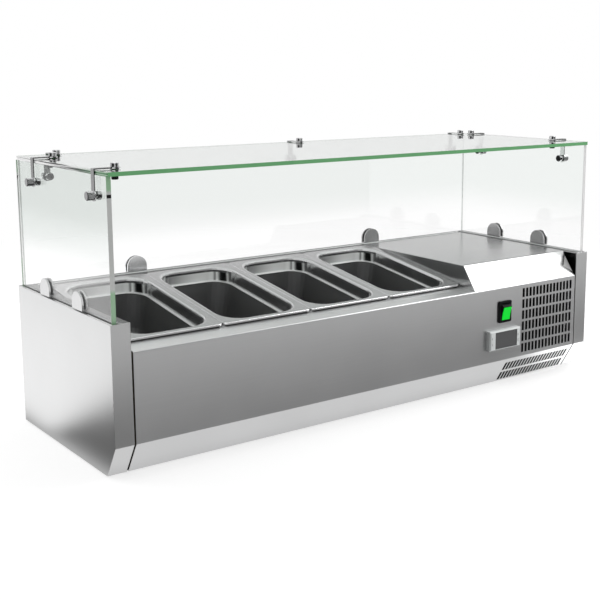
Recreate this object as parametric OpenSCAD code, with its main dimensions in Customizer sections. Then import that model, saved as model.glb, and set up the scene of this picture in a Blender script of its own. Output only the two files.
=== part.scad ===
// Refrigerated counter-top saladette: four pans in a sloping deck, a machine
// compartment at the right end, and a glass screen on three sides and above.
// X runs along the counter, Y from the serving side to the back, Z up.
// The origin is on the counter, below the middle of the whole outline.

/* [Body] */
// Length of the machine compartment
machine_l = 263; // [256:1:340]
// Height of the front panel's top edge above the body's underside
front_h = 185.2; // [180:0.1:230]
// Width of each end post, seen from the front
post_w = 29.5; // [28:0.5:45]
// Height of the bevel at the foot of the front
bevel_h = 49; // [40:1:60]
// Inset of the bevel at the bottom
bevel_in = 30; // [20:1:36]
// Space under the body, taken up by the feet
foot_clear = 3; // [2:0.5:12]
// Thickness of the outer sheet metal
sheet_t = 1.2; // [1:0.1:1.5]

/* [Deck and well] */
// Slope of the pan deck, degrees
deck_tilt = 8.2; // [6:0.1:9]
// Width of the level ledge in front of the pans
ledge_w = 40.5; // [36:0.5:60]
// Rise of the ledge from the front edge to the pans
ledge_rise = 2.4; // [1:0.1:4]
// Depth of the strip behind the pans
rear_w = 43.2; // [40:0.1:70]
// Step from the back of the deck up to the body's top
rear_step = 1.6; // [1:0.1:6]
// Space between the left post and the first pan
pan_margin = 11; // [9:0.5:30]
// Depth of the cold well below the deck
well_deep = 150; // [125:1:152]

/* [Pans] */
// Number of quarter-size pans
pan_count = 4; // [2:1:6]
// Width of a pan over its rim
pan_w = 162; // [140:1:176]
// Length of a pan over its rim
pan_l = 265; // [240:1:300]
// Depth of a pan
pan_deep = 100; // [65:1:110]
// Gap between neighbouring rims
pan_gap = 1; // [0.6:0.1:4]
// Thickness of the pan's sheet
pan_t = 1; // [0.8:0.1:1.4]
// Width of the rim
rim_w = 12.5; // [12:0.5:16]
// Height of the rim's turned-down edge
lip_h = 5; // [4:0.5:8]
// Corner radius of the pan's mouth
mouth_r = 36; // [30:1:44]

/* [Glass] */
// Height of the top glass above the body's underside
screen_h = 437; // [400:1:480]
// Thickness of the side and rear glass
glass_t = 7; // [5:0.5:7.5]
// Thickness of the top glass
top_glass_t = 6; // [5:0.5:8]
// Setback of the side glass from the front
glass_front_in = 7; // [2:0.1:20]
// Setback of the top glass from the front
top_front_in = 2.4; // [2:0.1:20]

/* [Glass straps] */
// Left straps: distance of the front one from the front
left_strap_front = 45; // [25:1:80]
// Left straps: distance of the rear one from the back
left_strap_rear = 79; // [50:1:110]
// Right straps: distance of the front one from the front
right_strap_front = 65; // [25:1:80]
// Right straps: distance of the rear one from the back
right_strap_rear = 57; // [50:1:110]
// Rear straps: distance of the left one from the left end
rear_strap_left = 60; // [55:1:120]
// Rear straps: distance of the middle one from the middle
rear_strap_mid = 38; // [-60:1:60]
// Rear straps: distance of the right one from the right end
rear_strap_right = 47; // [46:1:120]

/* [Glass clips] */
// Side clips: distance of the front one from the front
side_clip_front = 116; // [60:1:140]
// Side clips: distance of the rear one from the back
side_clip_rear = 108; // [60:1:140]
// Rear clips: distance of the left one from the left end
rear_clip_left = 204; // [120:1:300]
// Rear clips: distance of the right one from the right end
rear_clip_right = 265; // [120:1:300]
// Width of a clip plate
clip_w = 36; // [30:1:44]
// Height of a clip plate
clip_h = 27; // [24:1:36]

/* [Vents] */
// Columns of the front vent
vent_cols = 15; // [6:1:15]
// Rows of the front vent
vent_rows = 6; // [2:1:6]
// Width of a front vent slot, as a share of the column spacing
vent_slot_share = 0.55; // [0.4:0.01:0.65]
// Metal between two rows of the front vent
vent_bridge = 4.3; // [3:0.1:8]
// Slots in each row of the bevel vent
foot_vent_cols = 21; // [8:1:21]
// Slot spacing of the bevel vent
foot_vent_pitch = 8.1; // [7:0.1:8.1]

/* [Controls] */
// Distance of the controls' centre line from the bulkhead cover
controls_x = 71.5; // [50:0.5:72]
// Switch centre: height above the bevel, as a share of the flat front
switch_share = 0.668; // [0.64:0.002:0.74]
// Shift of the controller to the left of the controls' centre line
controller_left = 4.5; // [0:0.5:6]
// Controller centre: height above the bevel, as a share of the flat front
controller_share = 0.305; // [0.23:0.005:0.33]
// Width of the controller bezel
controller_w = 78; // [76:1:84]
// Height of the controller bezel
controller_h = 37; // [36:0.5:40]

/* [Hidden] */
// Overrun of cuts, and clearance between pieces that lie side by side
over = 1;
clear = 0.3;
// Facets of the plain round solids
$fn = 48;

// Driving outline, worked out from the pieces that fill it
pan_pitch = pan_w + pan_gap;
pan_run = pan_l * cos(deck_tilt);
pan_rise = pan_l * sin(deck_tilt);
body_l = 2 * post_w + pan_margin + pan_count * pan_pitch + machine_l;
body_d = ledge_w + pan_run + rear_w;
body_h = front_h + ledge_rise + pan_rise + rear_step;

// Glass grooves at the rim of the body
hem_w = 4.2;
groove_w = 8.6;
groove_deep = 10;
groove_floor = 3;
crown_w = 4;
crown_h = 1.5;
rail_skirt = 80;
glass_in = hem_w + (groove_w - glass_t) / 2;

// Straps and clamps that tie the top glass to the others
strap_t = 1.5;
strap_w = 10;
strap_end_r = 8;
strap_hole_d = 5.4;
clamp_reach = 31;
clamp_drop = 35;
spacer_h = 1;
spacer_d = 12;
top_cap_d = 12;
top_cap_h = 6.5;
side_cap_d = 13;
side_cap_h = 10.5;
bolt_d = 5;
bolt_in = 4;
glass_hole_d = 8;
top_knob_d = 10;
top_knob_h = 8.8;
side_knob_d = 13;
side_knob_h = 6;
knob_round = 0.8;

// Reach of the rear caps and of the controller's keys, which set the outline
back_reach = spacer_h + strap_t + side_cap_h - glass_in;
controller_out = 10;
key_out = 0.6;
front_reach = controller_out + key_out;

// Faces of the body
x_l = -body_l / 2;
x_r = body_l / 2;
y_f = (front_reach - body_d - back_reach) / 2;
y_b = y_f + body_d;
z_b = foot_clear;
z_t = z_b + body_h;
z_p = z_b + front_h;
post_l = x_l + post_w;
post_r = x_r - post_w;

// Deck plane: its front edge line, at the feet of the pans' rims
deck_y = y_f + ledge_w;
deck_z = z_p + ledge_rise;
well_x0 = post_l + pan_margin;
well_x1 = well_x0 + pan_count * pan_pitch - pan_gap;
cover_x0 = well_x1 + pan_gap;
cover_end_gap = 1;
cover_x1 = post_r - cover_end_gap;

// Sheet-metal folds
panel_gap = 3;
panel_bend_r = 2.5;
post_return = 20;
foot_return = 18;
hem_return = 10;
base_z = z_b + sheet_t;
base_top = base_z + sheet_t;

// Support of the pans on the deck, and the liner below it
pan_bear = 6;
liner_in = 9;
liner_t = 1;
liner_flange = 13;
liner_r = 20;
bar_rib_h = 8;
bar_rib_t = 1.5;
foam_end_gap = 4;

// Pan form
rim_corner_r = 8;
rim_bend_r = 5;
lip_bend_r = 1.5;
step_drop = 25;
step_w = 4.5;
draft_in = 4;
pan_floor_r = 14;
pan_rest = 0.05;
pan_corner_steps = 6;
pan_arc_steps = 3;

// Compartment cover
cover_bevel_in = 33;
cover_flange = 8;
bulkhead_in = 8;

// Flat of the front between the bevel and the top edge
flat_h = front_h - bevel_h;
switch_z = bevel_h + switch_share * flat_h;
controller_z = bevel_h + controller_share * flat_h;

// Vent places: the slots fill the flat between controller and post
vent_side_gap = 12.4;
vent_left_gap = 12.2;
vent_top_gap = 8.7;
vent_foot_gap = 7;
vent_x0 = controls_x - controller_left + controller_w / 2 + vent_left_gap;
vent_w = machine_l - vent_x0 - vent_side_gap;
vent_pitch = vent_w / (vent_cols - 1 + vent_slot_share);
vent_slot_w = vent_slot_share * vent_pitch;
vent_row_pitch = (flat_h - vent_top_gap - vent_foot_gap + vent_bridge) / vent_rows;
vent_slot_h = vent_row_pitch - vent_bridge;
foot_vent_side_gap = 12;
foot_vent_drop = 10;
foot_vent_slot_w = 4.7;
foot_vent_slot_h = 19;
foot_vent_row_pitch = 24.8;
foot_vent_rows = 2;

// Glass levels
glass_z0 = z_t - groove_deep;
top_glass_z = z_b + screen_h - top_glass_t;
screen_z = z_b + screen_h;
top_corner_r = 4;

// Clip plates
clip_t = 3;
clip_pad_t = 0.5;
clip_pad_w = 26;
clip_pad_h = 15;
clip_pin_d = 5;
clip_pin_hole_d = 6;
clip_pin_z = 13;
clip_pin_in = 1.5;

// Switch
switch_x = cover_x0 + controls_x;
switch_w = 32;
switch_h = 39.5;
switch_rim = 3.5;
switch_round = 3;
switch_hole_w = 25.4;
switch_hole_h = 34.6;
switch_deep = 22;
switch_wall = 1.5;
rocker_w = 20.6;
rocker_half_h = 13;
rocker_front = 7.9;
rocker_back = 6;
rocker_dish = 1.2;
rocker_in = 4;
rocker_tilt = 13;
lens_t = 1.2;
lens_in = 1;
pivot_d = 3;
pivot_play = 0.05;
pivot_l = 1;
rocker_side_play = 0.35;

// Controller
controller_x = cover_x0 + controls_x - controller_left;
controller_round = 2.5;
window_set = 1.2;
controller_hole_w = 71;
controller_hole_h = 29;
controller_deep = 52;
window_w = 55;
window_h = 31;
window_t = 1.5;
window_right = 10;
key_w = 5;
key_h = 4;
key_t = 3.4;
key_play = 0.2;
key_pitch = 11;
key_left_in = 7.5;
key_right_in = 5.3;

// Machine parts
foot_d = 26;
foot_in_x = 38;
foot_in_y = 62;
foot_back_in = 34;
screw_d = 3.4;
screw_head_d = 7;
screw_head_h = 2;
screw_in = 14;
compressor_r = 62;
compressor_h = 136;
compressor_dome = 26;
compressor_band = 2.5;
compressor_band_h = 6;
compressor_back = 84;
compressor_left = 128;
plate_t = 2.5;
plate_w = 160;
plate_d = 120;
plate_round = 12;
mount_in = 12;
grommet_h = 10;
grommet_d = 22;
grommet_neck_d = 13;
grommet_cap_h = 4;
grommet_bore = 6.6;
stud_d = 6;
stud_head_d = 11;
stud_head_h = 4;
terminal_w = 46;
terminal_t = 24;
terminal_h = 52;
condenser_left_gap = 15;
condenser_side_gap = 9;
condenser_w = machine_l - controls_x - controller_hole_w / 2 - condenser_left_gap - condenser_side_gap;
condenser_t = 36;
condenser_h = 120;
condenser_gap = 12;
condenser_lift = 46;
fin_t = 0.6;
fin_count = 27;
tube_d = 8;
tube_rows = 4;
tube_cols = 2;
end_plate_t = 1.5;
shroud_t = 1.2;
shroud_ring_deep = 22;
shroud_ring_t = 1.5;
shroud_margin = 3;
fan_tip_gap = 3.5;
fan_d = min(condenser_w, condenser_h) - 2 * (fan_tip_gap + shroud_ring_t + shroud_margin);
fan_hub_d = 34;
fan_hub_l = 14;
fan_blade_t = 1.6;
fan_blades = 5;
fan_pitch = 32;
fan_set = 5;
shaft_d = 6;
shaft_play = 0.05;
motor_d = 62;
motor_l = 36;
motor_strap_w = 22;
motor_strap_t = 2;
motor_set = 40;
drier_d = 20;
drier_l = 80;
drier_end = 12;
line_d = 6.4;
braze_t = 1.6;
evap_d = 9.5;
evap_runs = 6;
evap_front = 32;
evap_rear = 33;
evap_pitch = (pan_l - evap_front - evap_rear) / (evap_runs - 1);
evap_side = 62;
evap_tail = 14;
probe_d = 5;
probe_l = 40;
probe_in = 60;
probe_drop = 122;
gland_d = 16;
gland_nut_d = 24;
gland_nut_h = 4;
gland_out = 8;
gland_bore = 8;
gland_x_in = 60;
gland_z = 40;

// Point moved off a path by t, square to the path or along its mitre
function unit(v) = v / norm(v);
function left_of(v) = [-v[1], v[0]];
function leg(p, i) = unit(p[i + 1] - p[i]);
function shifted(p, i, t) =
  i == 0 ? p[0] + left_of(leg(p, 0)) * t :
  i == len(p) - 1 ? p[i] + left_of(leg(p, i - 1)) * t :
  let (a = left_of(leg(p, i - 1)), b = left_of(leg(p, i)))
  p[i] + (a + b) * t / (1 + a * b);

// Points of an arc about c
function arc(c, r, a0, a1, steps) =
  [for (k = [0:steps]) let (a = a0 + (a1 - a0) * k / steps) c + r * [cos(a), sin(a)]];

// Folded sheet: a path and the same path moved by t, closed
module folded(path, t) {
  n = len(path) - 1;
  polygon(concat(path, [for (i = [n:-1:0]) shifted(path, i, t)]));
}

// Rectangle with round corners, its lower left corner at the origin
module round_rect(w, h, r) {
  translate([r, 0]) square([w - 2 * r, h]);
  translate([0, r]) square([w, h - 2 * r]);
  for (x = [r, w - r], y = [r, h - r]) translate([x, y]) circle(r);
}

// Slot along its height, centred
module slot(w, h) {
  square([w, h - w], center = true);
  for (s = [-1, 1]) translate([0, s * (h - w) / 2]) circle(d = w, $fn = 16);
}

// Outlines drawn in Y and Z carried along X, and outlines in X and Z along Y
module along_x(x0, x1) {
  translate([x0, 0, 0]) rotate([90, 0, 90]) linear_extrude(x1 - x0) children();
}
module along_y(y0, y1) {
  translate([0, y1, 0]) rotate([90, 0, 0]) linear_extrude(y1 - y0) children();
}

// Box between two corners
module block(a, b) {
  translate(a) cube(b - a);
}

// Round bar between two points
module bar(a, b, d) {
  v = b - a;
  translate(a) rotate([0, acos(v[2] / norm(v)), atan2(v[1], v[0])]) cylinder(h = norm(v), d = d);
}

// Tube through points, with a brazed ball at each bend
module tube_run(points, d) {
  for (i = [0:len(points) - 2]) bar(points[i], points[i + 1], d);
  for (i = [1:len(points) - 2]) translate(points[i]) sphere(d = d + braze_t, $fn = 24);
}

// Places in the deck's own frame: x as in the body, y up the slope
module on_deck() {
  translate([0, deck_y, deck_z]) rotate([deck_tilt, 0, 0]) children();
}
function ledge_z(y) = z_p + (y - y_f - panel_bend_r) * ledge_rise / (ledge_w - panel_bend_r);
function slope_z(y) = deck_z + (y - deck_y) * tan(deck_tilt);
function pan_x(k) = well_x0 + k * pan_pitch;

// Front of the body from its top down round the bevel
bevel_path = [[y_f, z_b + bevel_h], [y_f + bevel_in, z_b], [y_f + bevel_in + foot_return, z_b]];

// Side panel with its front post, drawn at the left end
module side_panel(return_top) {
  along_x(x_l, x_l + sheet_t)
    polygon([[y_f, z_t], [y_f, z_b + bevel_h], [y_f + bevel_in, z_b], [y_b, z_b], [y_b, z_t]]);
  along_x(x_l, post_l) folded(concat([[y_f, z_t]], bevel_path), sheet_t);
  along_x(post_l - sheet_t, post_l)
    polygon([
      [y_f, return_top], [y_f, z_b + bevel_h], [y_f + bevel_in, z_b],
      [y_f + bevel_in + foot_return, z_b], [y_f + post_return, z_b + bevel_h],
      [y_f + post_return, return_top]
    ]);
  block([x_l, y_f + bevel_in + foot_return, z_b], [x_l + foot_return, y_b - foot_return - clear, base_z]);
  block([x_l, y_f, z_t - hem_return], [x_l + hem_w, y_b - hem_w, z_t]);
}

module left_side_panel() {
  color("gainsboro") side_panel(z_t - hem_return);
}

module right_side_panel() {
  color("gainsboro") mirror([1, 0, 0]) side_panel(z_p);
}

// End rail, drawn at the left end: groove floor, rolled crown, flat, skirt
groove_x0 = x_l + hem_w;
groove_x1 = groove_x0 + groove_w;
rail_floor_z = glass_z0 - groove_floor;
module end_rail(skirt_y) {
  difference() {
    union() {
      along_y(y_f + sheet_t + clear, y_b - sheet_t - clear)
        folded(concat(
          [[x_l + sheet_t + clear, rail_floor_z], [groove_x1, rail_floor_z]],
          arc([groove_x1 + crown_h, z_t], crown_h, 180, 90, pan_arc_steps),
          [[groove_x1 + crown_w, z_t + crown_h], [groove_x1 + crown_w + crown_h, z_t],
           [post_l, z_t]]
        ), -sheet_t);
      block([post_l - sheet_t, skirt_y, z_t - rail_skirt], [post_l, y_b - sheet_t - clear, z_t]);
    }
    // Room for the rear glass and its seal
    block([groove_x1, y_b - hem_w - groove_w, rail_floor_z], [post_l + over, y_b, z_t + crown_h + over]);
  }
}

module left_end_rail() {
  color("lightgray") end_rail(y_f + post_return + clear);
}

module right_end_rail() {
  color("lightgray") mirror([1, 0, 0]) end_rail(y_f + cover_bevel_in);
}

// Slots of the front vent, in X and Z
vent_x1 = post_r - vent_side_gap - vent_slot_w / 2;
vent_z1 = z_p - vent_top_gap - vent_slot_h / 2;
module vent_slots() {
  for (c = [0:vent_cols - 1], r = [0:vent_rows - 1])
    translate([vent_x1 - c * vent_pitch, vent_z1 - r * vent_row_pitch]) slot(vent_slot_w, vent_slot_h);
}

// Frame of the bevel: local y runs down the bevel, local z inwards
bevel_a = atan2(bevel_in, bevel_h);
module on_bevel() {
  translate([0, y_f, z_b + bevel_h]) rotate([bevel_a - 90, 0, 0]) children();
}

foot_vent_x1 = post_r - foot_vent_side_gap - foot_vent_slot_w / 2;
module foot_vent_slots() {
  for (c = [0:foot_vent_cols - 1], r = [0:foot_vent_rows - 1])
    translate([
      foot_vent_x1 - c * foot_vent_pitch,
      foot_vent_drop + foot_vent_slot_h / 2 + r * foot_vent_row_pitch
    ]) slot(foot_vent_slot_w, foot_vent_slot_h);
}

// Folded front: foot return, bevel, face, rolled top edge, ledge, rim seat
front_x0 = post_l + panel_gap;
front_x1 = post_r - panel_gap;
front_path = concat(
  [bevel_path[2], bevel_path[1], bevel_path[0]],
  arc([y_f + panel_bend_r, z_p - panel_bend_r], panel_bend_r, 180, 90, pan_arc_steps),
  [
    [deck_y, deck_z],
    [deck_y + pan_bear * cos(deck_tilt), deck_z + pan_bear * sin(deck_tilt)]
  ]
);
module front_panel() {
  color("silver") difference() {
    along_x(front_x0, front_x1) folded(front_path, -sheet_t);
    along_y(y_f - over, y_f + sheet_t + over) vent_slots();
    on_bevel() translate([0, 0, -over]) linear_extrude(sheet_t + 2 * over) foot_vent_slots();
    block(
      [switch_x - switch_hole_w / 2, y_f - over, z_b + switch_z - switch_hole_h / 2],
      [switch_x + switch_hole_w / 2, y_f + sheet_t + over, z_b + switch_z + switch_hole_h / 2]
    );
    block(
      [controller_x - controller_hole_w / 2, y_f - over, z_b + controller_z - controller_hole_h / 2],
      [
        controller_x + controller_hole_w / 2, y_f + sheet_t + over,
        z_b + controller_z + controller_hole_h / 2
      ]
    );
    // Ledge cut away under the compartment cover
    block([cover_x0 + bulkhead_in + sheet_t, y_f + post_return, z_p - over], [x_r, y_b, z_t]);
  }
}

// Back: hem at the top, foot return, vent slots at the machine end
screw_xs = [for (k = [0:3]) front_x0 + screw_in + (front_x1 - front_x0 - 2 * screw_in) * k / 3];
back_screw_z = z_b + screw_in;
gland_x = post_r - gland_x_in;
module back_panel() {
  color("gainsboro") difference() {
    along_x(x_l + sheet_t + clear, x_r - sheet_t - clear)
      folded([
        [y_b - hem_w, z_t], [y_b, z_t], [y_b, z_b], [y_b - foot_return, z_b]
      ], -sheet_t);
    along_y(y_b - sheet_t - over, y_b + over) vent_slots();
    for (x = screw_xs)
      translate([x, y_b + over, back_screw_z]) rotate([90, 0, 0])
        cylinder(h = sheet_t + 2 * over, d = screw_d);
    translate([gland_x, y_b + over, z_b + gland_z]) rotate([90, 0, 0])
      cylinder(h = sheet_t + 2 * over, d = gland_d + clear);
  }
}

// Rear rail: groove floor, groove wall, rolled crown and a short flat
rail_y1 = y_b - hem_w - groove_w;
rail_y0 = rail_y1 - crown_w - crown_h - crown_w;
module rear_rail() {
  color("lightgray") along_x(post_l + clear, post_r - clear)
    folded(concat(
      [[y_b - sheet_t - clear, rail_floor_z], [rail_y1, rail_floor_z]],
      arc([rail_y1 - crown_h, z_t], crown_h, 0, 90, pan_arc_steps),
      [[rail_y1 - crown_w, z_t + crown_h], [rail_y1 - crown_w - crown_h, z_t], [rail_y0, z_t]]
    ), sheet_t);
}

module base_plate() {
  color("darkgray") difference() {
    union() {
      block(
        [x_l + sheet_t + clear, y_f + bevel_in + foot_return + clear, base_z],
        [x_r - sheet_t - clear, y_b - sheet_t - clear, base_top]
      );
      block(
        [post_l + clear, y_f + bevel_in + 2 * sheet_t, base_z],
        [post_r - clear, y_b - sheet_t - clear, base_top]
      );
    }
    foot_places() translate([0, 0, base_z - over]) cylinder(h = sheet_t + 2 * over, d = stud_d);
    mount_places() translate([0, 0, base_z - over]) cylinder(h = sheet_t + 2 * over, d = stud_d);
  }
}

// Deck in three borders; the front border is the front panel's own edge
deck_rear_y = deck_y + pan_run + sheet_t;
deck_x1 = cover_x0 + bulkhead_in + sheet_t;
module deck_frame() {
  color("lightgray") difference() {
    union() {
      on_deck() block([post_l + clear, pan_bear + clear, -sheet_t], [deck_x1, pan_l - pan_bear + clear, 0]);
      along_x(post_l + clear, deck_x1)
        folded([
          [deck_y + (pan_l - pan_bear) * cos(deck_tilt), deck_z + (pan_l - pan_bear) * sin(deck_tilt)],
          [deck_rear_y, slope_z(deck_rear_y)],
          [deck_rear_y + crown_w, z_t],
          [rail_y0 - clear, z_t]
        ], -sheet_t);
    }
    on_deck() translate([well_x0 + pan_bear, 0, -sheet_t - over])
      linear_extrude(sheet_t + 2 * over) square([well_x1 - well_x0 - 2 * pan_bear, pan_l - pan_bear]);
    // Cover's top lies over the machine end
    block([cover_x0 - clear, deck_rear_y, z_t - sheet_t], [x_r, y_b, z_t + over]);
  }
}

liner_top = -sheet_t;
liner_w = well_x1 - well_x0 - 2 * liner_in;
liner_l = pan_l - 2 * liner_in;
module liner_form(grow, top, bottom) {
  translate([well_x0 + liner_in - grow, liner_in - grow, bottom])
    linear_extrude(top - bottom) round_rect(liner_w + 2 * grow, liner_l + 2 * grow, liner_r + grow);
}

module at_probe(dx) {
  translate([well_x1 - liner_in + dx, probe_in, -probe_drop]) rotate([0, 90, 0]) children();
}
module well_liner() {
  color("silver") on_deck() difference() {
    union() {
      liner_form(liner_t, liner_top, -well_deep);
      translate([0, 0, liner_top - liner_t]) linear_extrude(liner_t)
        translate([well_x0 + liner_in - liner_flange, liner_in - liner_flange])
          square([liner_w + 2 * liner_flange, liner_l + 2 * liner_flange]);
    }
    liner_form(0, liner_top + over, liner_t - well_deep);
    at_probe(-over) cylinder(h = liner_t + 2 * over, d = probe_d + clear);
  }
}

// Foam between the liner and the outer panels, with room for the tube
evap_z = -well_deep - evap_d / 2 - clear;
function evap_y(k) = evap_front + k * evap_pitch;
module foam_block() {
  color("khaki") difference() {
    along_x(front_x0 + foam_end_gap, cover_x0 + bulkhead_in)
      polygon([
        [y_f + sheet_t, z_b + bevel_h + sheet_t], [y_f + sheet_t, z_p - panel_bend_r - sheet_t],
        [deck_y, deck_z - 3 * sheet_t], [deck_rear_y, slope_z(deck_rear_y) - 3 * sheet_t],
        [rail_y0, slope_z(deck_rear_y) - 3 * sheet_t], [rail_y0, rail_floor_z - 2 * sheet_t],
        [y_b - sheet_t, rail_floor_z - 2 * sheet_t], [y_b - sheet_t, base_top],
        [y_f + bevel_in + 2 * sheet_t, base_top]
      ]);
    on_deck() liner_form(liner_t + clear, over, -well_deep - evap_d - 2 * clear);
    on_deck() for (k = [0, evap_runs - 1]) translate([well_x1 - liner_in - liner_r, evap_y(k), evap_z])
      rotate([0, 90, 0]) cylinder(h = machine_l, d = evap_d + 2 * clear);
    // Duct for the probe
    on_deck() at_probe(0) cylinder(h = machine_l, d = probe_d + 2 * clear);
  }
}

module bulkhead() {
  x0 = cover_x0 + bulkhead_in;
  color("silver") difference() {
    along_x(x0, x0 + sheet_t)
      polygon([
        [y_f + bevel_in + 2 * sheet_t, base_top], [y_f + 2 * sheet_t, z_b + bevel_h + sheet_t],
        [y_f + 2 * sheet_t, z_p - panel_bend_r - sheet_t], [deck_y, deck_z - 2 * sheet_t],
        [deck_y + pan_bear, slope_z(deck_y + pan_bear) - 2 * sheet_t],
        [deck_rear_y - pan_bear, slope_z(deck_rear_y - pan_bear) - 2 * sheet_t],
        [rail_y0, z_t - pan_bear], [rail_y0, rail_floor_z - 2 * sheet_t],
        [y_b - 2 * sheet_t, rail_floor_z - 2 * sheet_t], [y_b - 2 * sheet_t, base_top]
      ]);
    on_deck() for (k = [0, evap_runs - 1]) translate([x0 - over, evap_y(k), evap_z])
      rotate([0, 90, 0]) cylinder(h = machine_l, d = evap_d + 2 * clear);
    on_deck() at_probe(0) cylinder(h = machine_l, d = probe_d + 2 * clear);
  }
}

// T-shaped bars that carry the rims along the seams, resting on the liner
bar_l0 = pan_bear + clear;
bar_l1 = pan_l - pan_bear - clear;
module pan_bars() {
  color("silver") on_deck() for (k = [1:pan_count - 1]) {
    seam = pan_x(k) - pan_gap / 2;
    half = pan_bear + pan_gap / 2;
    block([seam - half, bar_l0, -sheet_t], [seam + half, bar_l1, 0]);
    block(
      [seam - bar_rib_t / 2, liner_in + clear, -sheet_t - bar_rib_h],
      [seam + bar_rib_t / 2, pan_l - liner_in - clear, -sheet_t]
    );
  }
}

// Pan: one drawn skin, given as stations from the inner floor over the rim
// and back down the outside. Each station is [inset, corner radius, height].
function round_in(in0, z0, r, a0, a1) =
  [for (k = [0:pan_arc_steps]) let (a = a0 + (a1 - a0) * k / pan_arc_steps)
    [in0 + r * cos(a), z0 + r * sin(a)]];
function corner_at(inset) =
  inset > rim_w - rim_bend_r - pan_t ? mouth_r + rim_w - inset : rim_corner_r - min(inset, lip_bend_r) / 2;
pan_wall_in = rim_w + step_w + draft_in;
pan_floor_z = lip_h - pan_deep + pan_t;
pan_profile = concat(
  round_in(pan_wall_in + pan_floor_r, pan_floor_z + pan_floor_r, pan_floor_r, 270, 180),
  [[rim_w + step_w, lip_h - step_drop], [rim_w, lip_h - step_drop]],
  round_in(rim_w - rim_bend_r, lip_h - rim_bend_r, rim_bend_r, 0, 90),
  round_in(lip_bend_r, lip_h - lip_bend_r, lip_bend_r, 90, 180),
  [[0, 0], [pan_t, 0], [pan_t, lip_h - lip_bend_r], [lip_bend_r, lip_h - pan_t]],
  round_in(rim_w - rim_bend_r, lip_h - rim_bend_r, rim_bend_r - pan_t, 90, 0),
  [[rim_w - pan_t, lip_h - step_drop - pan_t], [rim_w + step_w - pan_t, lip_h - step_drop - pan_t]],
  round_in(pan_wall_in + pan_floor_r, pan_floor_z + pan_floor_r, pan_floor_r + pan_t, 180, 270)
);
function pan_ring(inset, r, z) =
  [for (c = [0:3], k = [0:pan_corner_steps])
    let (
      a = 90 * (c + k / pan_corner_steps),
      sx = c == 0 || c == 3 ? 1 : -1,
      sy = c < 2 ? 1 : -1
    )
    [
      pan_w / 2 + sx * (pan_w / 2 - inset - r) + r * cos(a),
      pan_l / 2 + sy * (pan_l / 2 - inset - r) + r * sin(a),
      z
    ]];
module pan_form() {
  n = 4 * (pan_corner_steps + 1);
  m = len(pan_profile);
  points = [for (s = pan_profile) each pan_ring(s[0], corner_at(s[0]), s[1])];
  skin = [for (i = [0:m - 2], k = [0:n - 1]) let (j = (k + 1) % n)
    each [
      [i * n + k, (i + 1) * n + k, (i + 1) * n + j],
      [i * n + k, (i + 1) * n + j, i * n + j]
    ]];
  floor_in = [for (k = [1:n - 2]) [0, k, k + 1]];
  floor_out = [for (k = [1:n - 2]) [(m - 1) * n, (m - 1) * n + k + 1, (m - 1) * n + k]];
  polyhedron(points, concat(skin, floor_in, floor_out));
}
module pan(k) {
  color("silver") on_deck() translate([pan_x(k), 0, pan_rest]) pan_form();
}
module pan_1() { pan(0); }
module pan_2() { pan(1); }
module pan_3() { pan(2); }
module pan_4() { pan(3); }

// Cover of the machine compartment: top, sloping front, closed left end
cover_y0 = y_f + cover_bevel_in;
cover_foot_y = y_f + panel_bend_r;
module compartment_cover() {
  color("silver") difference() {
    union() {
      along_x(cover_x0, cover_x1)
        folded([
          [rail_y0 - clear, z_t], [cover_y0, z_t], [cover_foot_y, ledge_z(cover_foot_y)],
          [cover_foot_y + cover_flange, ledge_z(cover_foot_y + cover_flange)]
        ], sheet_t);
      along_x(cover_x0, cover_x0 + sheet_t)
        polygon([
          [cover_foot_y, ledge_z(cover_foot_y)], [deck_y, deck_z],
          [deck_rear_y, slope_z(deck_rear_y)], [deck_rear_y, z_t], [cover_y0, z_t]
        ]);
    }
    // Right end of the sloping front stops short of the post
    block([post_r - panel_gap, y_f - over, z_p - ledge_w], [x_r, cover_y0 - sheet_t, z_t - sheet_t]);
  }
}

// Glass: plain panes with round holes for the clamps and clip pins
side_glass_y0 = y_f + glass_front_in;
glass_back = y_b - glass_in;
module hole_x(x, y, z, d) {
  translate([x - over, y, z]) rotate([0, 90, 0]) cylinder(h = glass_t + 2 * over, d = d);
}
clamp_z = screen_z - clamp_drop;
pin_z = z_t + crown_h + clip_pin_z;
module side_glass(strap_ys) {
  difference() {
    block([x_l + glass_in, side_glass_y0, glass_z0], [x_l + glass_in + glass_t, glass_back, top_glass_z]);
    for (y = strap_ys) hole_x(x_l + glass_in, y, clamp_z, glass_hole_d);
    for (y = side_clip_ys) hole_x(x_l + glass_in, y, pin_z, clip_pin_hole_d);
  }
}
left_strap_ys = [y_f + left_strap_front, y_b - left_strap_rear];
right_strap_ys = [y_f + right_strap_front, y_b - right_strap_rear];
rear_strap_xs = [x_l + rear_strap_left, rear_strap_mid, x_r - rear_strap_right];
side_clip_ys = [y_f + side_clip_front, y_b - side_clip_rear];
rear_clip_xs = [x_l + rear_clip_left, x_r - rear_clip_right];

module left_glass() {
  color([0.85, 0.95, 0.9, 0.4]) side_glass(left_strap_ys);
}

module right_glass() {
  color([0.85, 0.95, 0.9, 0.4]) mirror([1, 0, 0]) side_glass(right_strap_ys);
}

rear_glass_x = -groove_x1 - clear;
module rear_glass() {
  color([0.85, 0.95, 0.9, 0.4]) difference() {
    block([-rear_glass_x, glass_back - glass_t, glass_z0], [rear_glass_x, glass_back, top_glass_z]);
    for (x = rear_strap_xs) translate([x, glass_back + over, clamp_z]) rotate([90, 0, 0])
      cylinder(h = glass_t + 2 * over, d = glass_hole_d);
    for (x = rear_clip_xs) translate([x, glass_back + over, pin_z]) rotate([90, 0, 0])
      cylinder(h = glass_t + 2 * over, d = clip_pin_hole_d);
  }
}

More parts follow.
